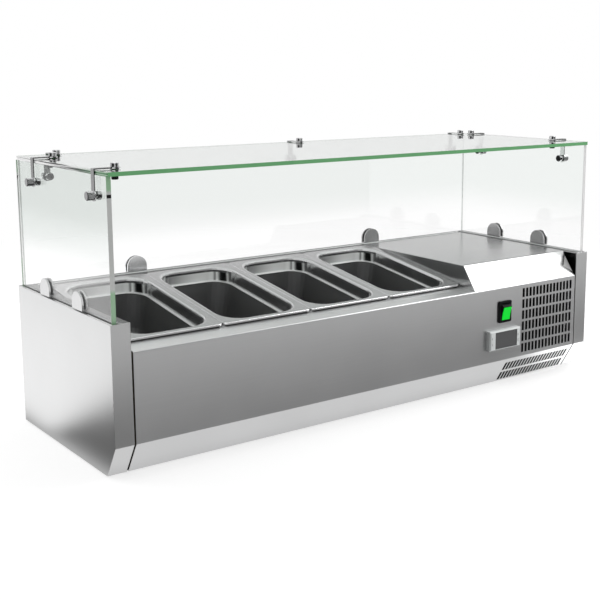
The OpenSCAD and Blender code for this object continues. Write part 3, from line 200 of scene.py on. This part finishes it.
def new_material(name):
    m = bpy.data.materials.new(name)
    m.use_nodes = True
    s = Shader(m.node_tree)
    out = s.node("ShaderNodeOutputMaterial")
    bsdf = s.node("ShaderNodeBsdfPrincipled")
    s.link(bsdf.outputs[0], out.inputs[0])
    return m, s, bsdf, out


# ---------------------------------------------------------------- kinds of material
def steel(name, tint, rough, grain, turn=(0, 0, 0), aniso=0.0, streak=0.015, edge=0.0006,
          smear=0.03, bump=0.015, shade=None, softer=None, painted_reflection=None, pale=0.56, rim=1.0):
    """Brushed sheet: long fine grain, faint smears, softened edges.

    shade(s) paints shade and light on it by place, softer(s) adds to the roughness, and patch(s) is 1
    where a painted reflection shows as plain grey of the tone pale. rim is its brightness at a grazing
    look.
    """
    m, s, bsdf, out = new_material(name)
    fine = s.noise(1.0, 5.0, GRAIN[grain], turn, 0.6)
    broad = s.noise(7.0, 3.0)
    lines = s.span(fine, *NOISE, 1 - streak, 1 + streak)
    grain_and_painted_shade = s.times(lines, s.span(broad, *NOISE, 0.97, 1.03))
    # Painted shade and painted light by place, where a shade is given
    if shade:
        grain_and_painted_shade = s.times(grain_and_painted_shade, shade(s))
    bsdf.inputs["Metallic"].default_value = 1.0
    bsdf.inputs["Specular Tint"].default_value = grey(rim)
    colour = s.scaled(tint, grain_and_painted_shade)
    # Painted reflection: plain grey, not metal, where the mask is 1
    if painted_reflection:
        part = painted_reflection(s)
        colour = s.mix(part, colour, grey(pale))
        s.link(s.span(part, 0, 1, 1, 0), bsdf.inputs["Metallic"])
    s.link(colour, bsdf.inputs["Base Color"])
    r = s.plus(s.span(fine, *NOISE, rough - 0.015, rough + 0.015),
               s.span(broad, *NOISE, -smear / 2, smear / 2))
    if softer:
        r = s.plus(r, softer(s))
    s.link(r, bsdf.inputs["Roughness"])
    s.relief(bsdf, fine, bump, edge)
    if aniso:
        bsdf.inputs["Anisotropic"].default_value = aniso
        bsdf.inputs["Anisotropic Rotation"].default_value = 0.25
        along = s.node("ShaderNodeCombineXYZ", dict(enumerate(AXES[grain]))).outputs[0]
        s.link(along, bsdf.inputs["Tangent"])
    return m


def plastic(name, tint, rough, grain=0.05, scale=900.0, glow=0.0, gloss=0.5, shade=None):
    """Moulded, painted or foamed stuff: faint clouds of tone, fine grain, softened edges."""
    m, s, bsdf, out = new_material(name)
    bsdf.inputs["Specular IOR Level"].default_value = gloss
    if glow:
        bsdf.inputs["Emission Color"].default_value = tint + (1.0,)
        bsdf.inputs["Emission Strength"].default_value = glow
    fine = s.noise(scale, 2.0)
    broad = s.noise(12.0, 3.0)
    dark = tuple(c * 0.93 for c in tint) + (1.0,)
    pale = tuple(min(1.0, c * 1.05) for c in tint) + (1.0,)
    colour = s.mix(broad, dark, pale)
    # Painted shade by facing, where a shade is given
    if shade:
        colour = s.scaled(colour, shade(s))
    s.link(colour, bsdf.inputs["Base Color"])
    s.link(s.span(fine, *NOISE, rough - 0.06, rough + 0.06), bsdf.inputs["Roughness"])
    s.relief(bsdf, fine, grain, 0.0004)
    return m


def glass(name, top_tint, low_tint, low, high):
    """Clear pane: lets lamps through, with a faint tint at the top that fades out between the heights
    high and low: the fade is painted reflection.
    """
    m, s, bsdf, out = new_material(name)
    tint = s.mix(s.span(s.place()[2], low, high, smooth=True), low_tint, top_tint)
    s.link(tint, bsdf.inputs["Base Color"])
    bsdf.inputs["Transmission Weight"].default_value = 1.0
    bsdf.inputs["Roughness"].default_value = 0.0
    bsdf.inputs["IOR"].default_value = 1.45
    clear = s.node("ShaderNodeBsdfTransparent", {"Color": (0.93, 0.96, 0.94, 1)})
    path = s.node("ShaderNodeLightPath")
    through = s.most(path.outputs["Is Shadow Ray"], path.outputs["Is Diffuse Ray"])
    both = s.node("ShaderNodeMixShader", {0: through, 1: bsdf.outputs[0], 2: clear.outputs[0]})
    s.link(both.outputs[0], out.inputs[0])
    return m


def pane_edge(name, shade):
    """Cut edge of a pane; shade(s) gives the colour over its length."""
    m, s, bsdf, out = new_material(name)
    fine = s.noise(500.0, 2.0)
    s.link(shade(s), bsdf.inputs["Base Color"])
    s.link(s.span(fine, *NOISE, 0.10, 0.22), bsdf.inputs["Roughness"])
    s.relief(bsdf, fine, 0.02)
    return m


# ---------------------------------------------------------------- tones by place and by facing
def left_edge(s):
    """Green near both ends, grey between them, with one dark band: the grey and the band are painted
    reflection.
    """
    z = s.place()[2]
    ends = s.most(s.span(z, 0.411, 0.417, smooth=True), s.span(z, 0.279, 0.271, smooth=True))
    tone = s.mix(ends, (0.46, 0.47, 0.46, 1), (0.26, 0.42, 0.27, 1))
    band = s.times(s.span(z, 0.4040, 0.4048), s.span(z, 0.4098, 0.4090))
    return s.mix(band, tone, grey(0.01))


def top_side_edge(s):
    """Grey streaks of painted reflection at the back, turning green towards the front corner."""
    y = s.place()[1]
    streaks = s.noise(1.0, 2.0, (90.0, 5.0, 420.0))
    greys = s.mix(s.span(streaks, 0.44, 0.54), grey(0.03), grey(0.80))
    return s.mix(s.span(y, -0.04, -0.17, 0, 0.6, True), greys, GREEN_EDGE)


def green_edge(s):
    """Green with faint clouds of a lighter one."""
    return s.mix(s.noise(60.0), GREEN_EDGE, (0.15, 0.38, 0.17, 1))


def pale_edge(s):
    """Pale grey, with faint lines along the height."""
    lines = s.noise(1.0, 3.0, (600.0, 600.0, 8.0))
    return s.mix(s.span(lines, 0.35, 0.65), grey(0.50), grey(0.80))


def level(s, tone=0.62):
    """Painted shade: sheet that lies flat is darker than sheet that stands."""
    return s.span(s.facing()[2], *FLAT, 1.0, tone)


# Painted shade: the back panel's flat faces are darker still.
def back_shade(s):
    return level(s, 0.35)


def over_deck(s):
    """Height over the tilted plane that the pans' rims stand on."""
    _, y, z = s.place()
    return s.less(s.times(s.less(z, RIM_Z), RIM_COS), s.times(s.less(y, RIM_Y), RIM_SIN))


def pan_wall(s):
    """Height over the deck, place across a pan and along it, turn round its rear right corner, and
    1 on the inside."""
    x, y, _ = s.place()
    across = s.math("MODULO", s.less(x, PAN_LEFT), PAN_PITCH)
    along = s.times(s.less(y, RIM_Y), SLOPE_LENGTH)
    side = s.most(s.less(across, CORNER[0]), 0.0)
    back = s.most(s.less(along, CORNER[1]), 0.0001)
    way = s.facing()
    inward = s.plus(s.times(s.less(across, PAN_WIDTH / 2), way[0]),
                    s.times(s.less(along, PAN_LENGTH / 2), way[1]))
    inside = s.most(s.span(inward, 0.001, -0.001), s.span(way[2], 0.3, 0.5))
    return over_deck(s), across, along, s.math("ARCTAN2", side, back), inside


def pan_shade(s):
    """Painted shade and painted reflection: dark below the stacking ledge, black in the rear right
    corner, and a painted highlight on the front lip over a painted dark line."""
    over, _, along, turn, inside = pan_wall(s)
    # Painted reflection: bright and black bands round the rear right corner
    wall = s.tones(turn, ((0.0, 1.2), (0.50, 1.2), (0.74, 0.06), (0.90, 0.06), (1.10, 0.9),
                          (1.57, 0.7)))
    upper = s.times(s.span(over, *UPPER_WALL), s.span(over, *LEDGE))
    # Painted shade below the stacking ledge
    tone = s.times(s.where(upper, wall), s.span(over, *LOWER_WALL, 1.0, 0.38))
    rim = s.most(level(s), s.span(over, -0.006, 0.0, 1.0, 0.0, True))
    lip = s.times(s.span(along, 0.0030, 0.0022), s.span(s.facing()[2], 0.85, 0.7))
    edge = s.tones(over, ((-0.001, 0.05), (0.0010, 0.05), (0.0028, 1.4), (0.0052, 1.6)))
    return s.times(s.times(s.where(inside, tone), rim), s.where(lip, edge))


def pan_painted_reflection(s):
    """Painted reflection: soft bright field on the rear wall, fading to the left, and a painted
    highlight on the ledge's pale line.
    """
    over, across, _, turn, inside = pan_wall(s)
    bright = s.bands(turn, ((0.0, 0.85), (0.30, 1.0), (0.42, 0.3), (0.50, 1.0), (0.72, 0.03),
                            (0.92, 0.03), (1.04, 0.75), (1.20, 0.1), (1.57, 0.04)), top=1.0)
    bright = s.times(bright, s.span(across, 0.012, 0.10, 0.15, 1.0, True))
    upper = s.times(s.span(over, *UPPER_WALL, smooth=True), s.span(over, *LEDGE))
    line = s.times(s.span(over, -0.0209, -0.0206), s.span(over, -0.0192, -0.0197, 0, 0.75))
    return s.times(inside, s.most(s.times(bright, upper), line))


def pan_softer(s):
    """The walls below the ledge mirror less sharply."""
    return s.span(over_deck(s), -0.0205, -0.024, 0.0, 0.35)


def near_slot(s, value, last, pitch, half, count):
    """1 within half a slot of the nearest of count places, counted back from last by pitch."""
    steps = s.math("DIVIDE", s.less(last, value), pitch)
    off = s.math("ABSOLUTE", s.less(steps, s.math("ROUND", steps)))
    within = s.times(s.span(steps, -0.6, -0.5), s.span(steps, count - 0.5, count - 0.4, 1, 0))
    return s.times(within, s.span(off, half / pitch, (half - 0.0002) / pitch))


def front_shade(s):
    """Painted shade: dark lips round the vent slots. Painted light: a ledge brightest at the left end.
    """
    x, _, z = s.place()
    ledge = s.times(s.span(s.facing()[2], *FLAT), s.span(x, -0.45, -0.15, 0.1, -0.1))
    columns, rows = UPPER_SLOTS
    upper = s.times(near_slot(s, x, *columns), near_slot(s, z, *rows))
    columns, rows = LOWER_SLOTS
    down = s.math("DIVIDE", s.less(BEVEL_TOP, z), BEVEL_RISE)
    lower = s.times(near_slot(s, x, *columns), near_slot(s, s.times(down, -1.0), *rows))
    lower = s.times(lower, s.span(down, 0.0, 0.0002))
    return s.times(s.plus(1.0, ledge), s.span(s.most(upper, lower), 0, 1, 1.0, 0.10))


def cover_shade(s):
    """Painted shade: flat top and left end are darker, with a thin painted dark line along the top's
    front fold.
    """
    y = s.place()[1]
    line = s.times(s.span(y, *COVER_FOLD[0]), s.span(y, *COVER_FOLD[1], 1, 0))
    way = s.facing()
    top = s.span(way[2], *FLAT)
    flat = s.times(s.span(top, 0, 1, 1.0, 0.64), s.span(way[0], *AGAINST, 1.0, 0.9))
    return s.times(flat, s.span(s.times(line, top), 0, 1, 1.0, 0.35))


def cover_painted_reflection(s):
    """Painted reflection: a pale three-cornered field at the right end of the sloping front. Its left
    side runs inwards down to a waist and from there outwards again."""
    x, y, _ = s.place()
    down = s.span(y, *COVER_SLOPE)
    waist, waist_x = 0.60, 0.4437
    upper = s.span(down, 0.11, waist, 0.4631, waist_x)
    lower = s.span(down, waist, 0.98, waist_x, 0.4665)
    edge = s.most(upper, s.less(lower, s.span(down, waist, 0.59)))
    return s.times(s.span(s.less(x, edge), -0.0004, 0.0004), s.span(down, 0.04, 0.08))


def clip_shade(s):
    """Painted light and shade: the rear clip plate at the left end is the brightest, those at the
    machine end are darker.
    """
    return s.tones(s.place()[0], ((-0.50, 0.98), (-0.44, 0.98), (-0.40, 1.7), (-0.30, 1.7),
                                  (-0.10, 0.74), (0.50, 0.74)))


def knob_shade(s):
    """Polished turned parts: painted reflection of black bands beside bright ones, by the way the
    surface looks.
    """
    return s.tones(s.rounded()[2], ((-1.0, 0.8), (-0.75, 1.1), (-0.50, 0.9), (-0.35, 0.02),
                                    (0.20, 0.02), (0.32, 1.2), (0.50, 0.6), (0.70, 0.9), (1.0, 1.1)))


def cap_shade(s):
    """Upright turned caps: painted reflection of black upright bands beside bright ones, and a plain
    top.
    """
    way = s.rounded()
    tone = s.tones(way[0], ((-1.0, 0.9), (-0.90, 0.7), (-0.85, 0.03), (-0.55, 0.03), (-0.45, 0.9),
                            (-0.1, 0.8), (0.05, 0.1), (0.3, 0.6), (1.0, 0.8)))
    return s.most(tone, s.span(way[2], 0.6, 0.8))


def strap_shade(s):
    """Painted shade and light: the straps' faces that look forward are dark, those that look sideways
    are light.
    """
    return s.span(s.facing()[1], *AGAINST, 1.0, 0.12)


def moulding(s):
    """Moulded frame: its left side and underside lie in shade."""
    way = s.facing()
    return s.times(s.span(way[0], -0.3, -0.8, 1.0, 0.42), s.span(way[2], -0.3, -0.8, 1.0, 0.15))


# ---------------------------------------------------------------- materials
STEEL = (0.60, 0.602, 0.605)
POLISHED = {"tint": (0.80, 0.80, 0.81), "rough": 0.10, "streak": 0.01, "edge": 0.0005, "smear": 0.02}
M = {
    "front": steel("steel_front", STEEL, 0.30, "x", aniso=0.4, edge=0.0012, shade=front_shade),
    "side": steel("steel_side", (0.60, 0.602, 0.603), 0.32, "y", turn=(math.radians(35), 0, 0),
                  aniso=0.3, edge=0.0015),
    "deck": steel("steel_deck", STEEL, 0.28, "x", aniso=0.4, shade=level, rim=0.35),
    "cover": steel("steel_cover", (0.58, 0.583, 0.585), 0.25, "x", aniso=0.4, shade=cover_shade,
                   painted_reflection=cover_painted_reflection),
    "back": steel("steel_back", (0.58, 0.585, 0.59), 0.34, "x", aniso=0.4, shade=back_shade, rim=0.6),
    "pan": steel("steel_pan", (0.60, 0.60, 0.605), 0.20, "x", streak=0.01, edge=0.001, smear=0.02,
                 bump=0.0, shade=pan_shade, softer=pan_softer, painted_reflection=pan_painted_reflection, pale=0.92),
    "liner": steel("steel_liner", (0.45, 0.45, 0.455), 0.3, "x"),
    "clip": steel("steel_clip", (0.56, 0.56, 0.565), 0.22, "z", aniso=0.3, streak=0.02,
                  shade=clip_shade),
    "chrome": steel("chrome", (0.74, 0.74, 0.75), 0.06, "x", streak=0.01, edge=0.0005, smear=0.02),
    "knob": steel("polished_knob", grain="x", shade=knob_shade, **POLISHED),
    "cap": steel("polished_cap", grain="z", shade=cap_shade, **POLISHED),
    "strap": steel("strap_steel", (0.82, 0.82, 0.825), 0.16, "z", streak=0.02, smear=0.02,
                   shade=strap_shade, rim=0.4),
    "rear": steel("steel_rear_rail", (0.58, 0.582, 0.585), 0.28, "x", aniso=0.4, shade=level, rim=0.6),
    # Inner zinc sheet and condenser fins get near-black tones: painted shade for the dark inside seen
    # through the vents
    "zinc": steel("zinc", (0.06, 0.062, 0.064), 0.45, "x", streak=0.1),
    "fins": steel("fin_metal", (0.05, 0.05, 0.052), 0.5, "z"),
    "copper": steel("copper", (0.78, 0.40, 0.25), 0.3, "x"),
    "glass": glass("clear_glass", (0.88, 0.905, 0.89, 1), (1, 1, 1, 1), 0.265, 0.345),
    "edge_green": pane_edge("glass_edge_green", green_edge),
    "edge_left": pane_edge("glass_edge_left", left_edge),
    "edge_top_side": pane_edge("glass_edge_top_side", top_side_edge),
    "edge_pale": pane_edge("glass_edge_pale", pale_edge),
    "seal": plastic("seal", (0.02, 0.02, 0.021), 0.6),
    "rubber": plastic("foot_rubber", (0.03, 0.03, 0.031), 0.7),
    "black": plastic("black_plastic", (0.006, 0.006, 0.007), 0.45, gloss=0.12),
    "slot_wall_painted_shade": plastic("slot_wall_painted_shade", (0.008, 0.008, 0.008), 0.6, gloss=0.1),
    "green": plastic("green_lens", (0.002, 0.60, 0.03), 0.4, grain=0.02, glow=0.35, gloss=0.1),
    "grey": plastic("grey_plastic", (0.62, 0.64, 0.64), 0.45, shade=moulding),
    "window": plastic("smoke_window", (0.09, 0.09, 0.092), 0.12, grain=0.02),
    "paint": plastic("black_paint", (0.02, 0.02, 0.022), 0.25),
    # Foam darkened far below its pale yellow: painted shade in the gaps where it shows
    "foam": plastic("foam", (0.22, 0.20, 0.15), 0.9, grain=0.4, scale=300.0),
}

USE = {
    "front": ["front_panel"],
    "side": ["left_side_panel", "right_side_panel"],
    "deck": ["left_end_rail", "right_end_rail", "deck_frame", "pan_bars"],
    "rear": ["rear_rail"],
    "cover": ["compartment_cover"],
    "back": ["back_panel"],
    "pan": ["pan_1", "pan_2", "pan_3", "pan_4"],
    "liner": ["well_liner"],
    "clip": ["glass_clips"],
    "strap": ["glass_straps"],
    "cap": ["clamp_caps"],
    "knob": ["clamp_spacers", "side_knobs"],
    "chrome": ["clamp_bolts", "clip_pins", "screws", "fan_shaft", "temperature_probe"],
    "zinc": ["base_plate", "bulkhead", "fan_shroud"],
    "fins": ["condenser"],
    "copper": ["filter_drier", "refrigerant_lines", "evaporator_tube"],
    "glass": ["left_glass", "right_glass", "rear_glass", "top_glass"],
    "seal": ["glass_seals", "clip_pads"],
    "rubber": ["compressor_mounts", "rubber_feet"],
    "black": ["top_knobs", "switch_bezel", "switch_body", "switch_rocker", "controller_body",
              "terminal_box", "fan_rotor", "cable_gland"],
    "green": ["switch_lens"],
    "grey": ["controller_bezel", "key_1", "key_2", "key_3", "key_4"],
    "window": ["controller_window"],
    "paint": ["compressor", "fan_motor"],
    "foam": ["foam_block"],
}
SHARP_FROM = math.radians(32)
for key, names in USE.items():
    for name in names:
        mesh = NODES[name].data
        mesh.materials.clear()
        mesh.materials.append(M[key])
        mesh.shade_smooth()
        mesh.set_sharp_from_angle(angle=SHARP_FROM)



def within(x, z, field):
    return field[0][0] < x < field[0][1] and field[1][0] < z < field[1][1]


# Cut walls of the vent slots, painted dark as the shadowed space behind them
mesh = NODES["front_panel"].data
mesh.materials.append(M["slot_wall_painted_shade"])
for face in mesh.polygons:
    (x, y, z), look = face.center, face.normal
    upper = within(x, z, UPPER_FIELD) and y < FRONT_Y and abs(look.y) < EDGE_ON
    lower = (within(x, z, LOWER_FIELD) and abs(look.dot(BEVEL_LOOK)) < EDGE_ON
             and face.area < WALL_AREA)
    if upper or lower:
        face.material_index = 1

# Cut edges of the panes: the axis that a pane is thin along, and the looks of its faces that look
# along x, y and z. The faces that look along the thin axis stay clear.
EDGES = {
    "left_glass": (0, ("edge_pale", "edge_left", "edge_pale")),
    "right_glass": (0, ("edge_pale", "edge_pale", "edge_pale")),
    "rear_glass": (1, ("edge_pale", "edge_pale", "edge_pale")),
    "top_glass": (2, ("edge_top_side", "edge_green", "edge_pale")),
}
for name, (thin, looks) in EDGES.items():
    mesh = NODES[name].data
    for look in looks:
        mesh.materials.append(M[look])
    for face in mesh.polygons:
        axis = max(range(3), key=lambda k: abs(face.normal[k]))
        face.material_index = 0 if axis == thin else axis + 1

# ---------------------------------------------------------------- studio: white round the object
world = bpy.data.worlds.new("studio")
scene.world = world
world.use_nodes = True
w = Shader(world.node_tree)
w_out = w.node("ShaderNodeOutputWorld")
path = w.node("ShaderNodeLightPath")
heading = w.node("ShaderNodeTexCoord").outputs["Generated"]
rise = w.node("ShaderNodeSeparateXYZ", {0: heading}).outputs[2]
# The metal mirrors a darker room in front and to the right, and a brighter one high up
front = w.node("ShaderNodeVectorMath", {0: heading, 1: (0.60, -0.79, -0.10)}, operation="DOT_PRODUCT")
room = w.mix(w.span(rise, 0.10, 0.40, smooth=True), grey(0.88), grey(1.15))
room = w.mix(w.span(front.outputs["Value"], 0.30, 0.9, smooth=True), room, grey(0.42))
seen = w.mix(w.mirrored(path), grey(1.0), room)
shown = w.most(w.most(path.outputs["Is Camera Ray"], path.outputs["Is Glossy Ray"]),
               path.outputs["Is Transmission Ray"])
lit = w.mix(shown, grey(0.78), seen)
back = w.node("ShaderNodeBackground", {"Color": lit, "Strength": 1.0})
w.link(back.outputs[0], w_out.inputs[0])

# ---------------------------------------------------------------- floor
FLOOR_HALF = 6
floor_mesh = bpy.data.meshes.new("floor")
floor_bm = bmesh.new()
bmesh.ops.create_grid(floor_bm, x_segments=1, y_segments=1, size=FLOOR_HALF)
floor_bm.to_mesh(floor_mesh)
floor_bm.free()
floor = bpy.data.objects.new("floor", floor_mesh)
scene.collection.objects.link(floor)
m, s, bsdf, out = new_material("floor")
s.tree.nodes.remove(bsdf)
path = s.node("ShaderNodeLightPath")
x, y, _ = s.place()

# As the lamps light it, and as the camera sees it: pale with a soft shadow, white further out
plain = s.node("ShaderNodeBsdfDiffuse", {"Color": grey(0.8)})
pale = s.node("ShaderNodeBsdfDiffuse", {"Color": grey(0.45)})
glow = s.node("ShaderNodeEmission", {"Color": grey(1.0), "Strength": 0.62})
near_by = s.node("ShaderNodeAddShader", {0: pale.outputs[0], 1: glow.outputs[0]})
white = s.node("ShaderNodeEmission", {"Color": grey(1.0), "Strength": 1.0})
away = s.node("ShaderNodeVectorMath", {0: s.node("ShaderNodeTexCoord").outputs["Object"]},
              operation="LENGTH").outputs["Value"]
far = s.span(away, 0.8, 2.0, smooth=True)
pale_floor = s.node("ShaderNodeMixShader", {0: far, 1: near_by.outputs[0], 2: white.outputs[0]})
shown = s.most(path.outputs["Is Camera Ray"], path.outputs["Is Transmission Ray"])
pick = s.node("ShaderNodeMixShader", {0: shown, 1: plain.outputs[0], 2: pale_floor.outputs[0]})

# What the metal mirrors of it: tones by distance in front of the object, and to its left, with painted
# shadow in dark bands under, close in front of and beside the object, and a painted bright patch by its
# right foot
ahead = s.bands(y, ((-0.14, 1.0), (-0.20, 1.0), (-0.27, 0.22), (-0.50, 0.32), (-0.75, 0.66),
                    (-1.05, 1.22), (-1.38, 1.1), (-1.75, 0.03), (-2.5, 0.03)))
foot = s.times(s.span(y, -0.27, -0.20), s.span(x, 0.35, 0.50, 0.0, 0.5, True))
ahead = s.mix(foot, ahead, grey(2.0))
aside = s.bands(x, ((-0.48, 1.4), (-1.00, 1.4), (-1.30, 1.05), (-1.60, 0.5), (-2.5, 0.4)))
slant = s.plus(s.less(y, 0.125), s.times(s.plus(x, 0.56), 0.56))
dark = s.times(s.span(slant, 0.05, -0.05, smooth=True), s.span(x, -1.05, -0.85, smooth=True))
aside = s.mix(dark, aside, grey(0.06))
tone = s.mix(s.span(y, -0.12, -0.16), grey(0.33), ahead)
tone = s.mix(s.span(x, -0.50, -0.53), tone, aside)
metal = s.node("ShaderNodeEmission", {"Color": tone, "Strength": RAMP_TOP})
last = s.node("ShaderNodeMixShader", {0: s.mirrored(path), 1: pick.outputs[0], 2: metal.outputs[0]})
s.link(last.outputs[0], out.inputs[0])
floor_mesh.materials.append(m)


# ---------------------------------------------------------------- lamps
def softbox(name, at, aim, size, radiance, mirrored=True):
    """Area lamp turned towards aim. The camera never sees it, and mirrored says whether metal does."""
    data = bpy.data.lights.new(name, "AREA")
    data.shape = "RECTANGLE"
    data.size, data.size_y = size
    data.energy = radiance * math.pi * size[0] * size[1]
    lamp = bpy.data.objects.new(name, data)
    lamp.location = at
    lamp.rotation_euler = (Vector(aim) - Vector(at)).to_track_quat("-Z", "Y").to_euler()
    lamp.visible_camera = lamp.visible_transmission = False
    lamp.visible_glossy = mirrored
    scene.collection.objects.link(lamp)


softbox("overhead", (1.5, -0.55, 1.3), (0.3, 0, 0.2), (1.6, 1.2), 3.0)
softbox("left", (-1.3, 1.5, 0.6), (-0.5, 0, 0.12), (1.8, 1.1), 3.0, mirrored=False)
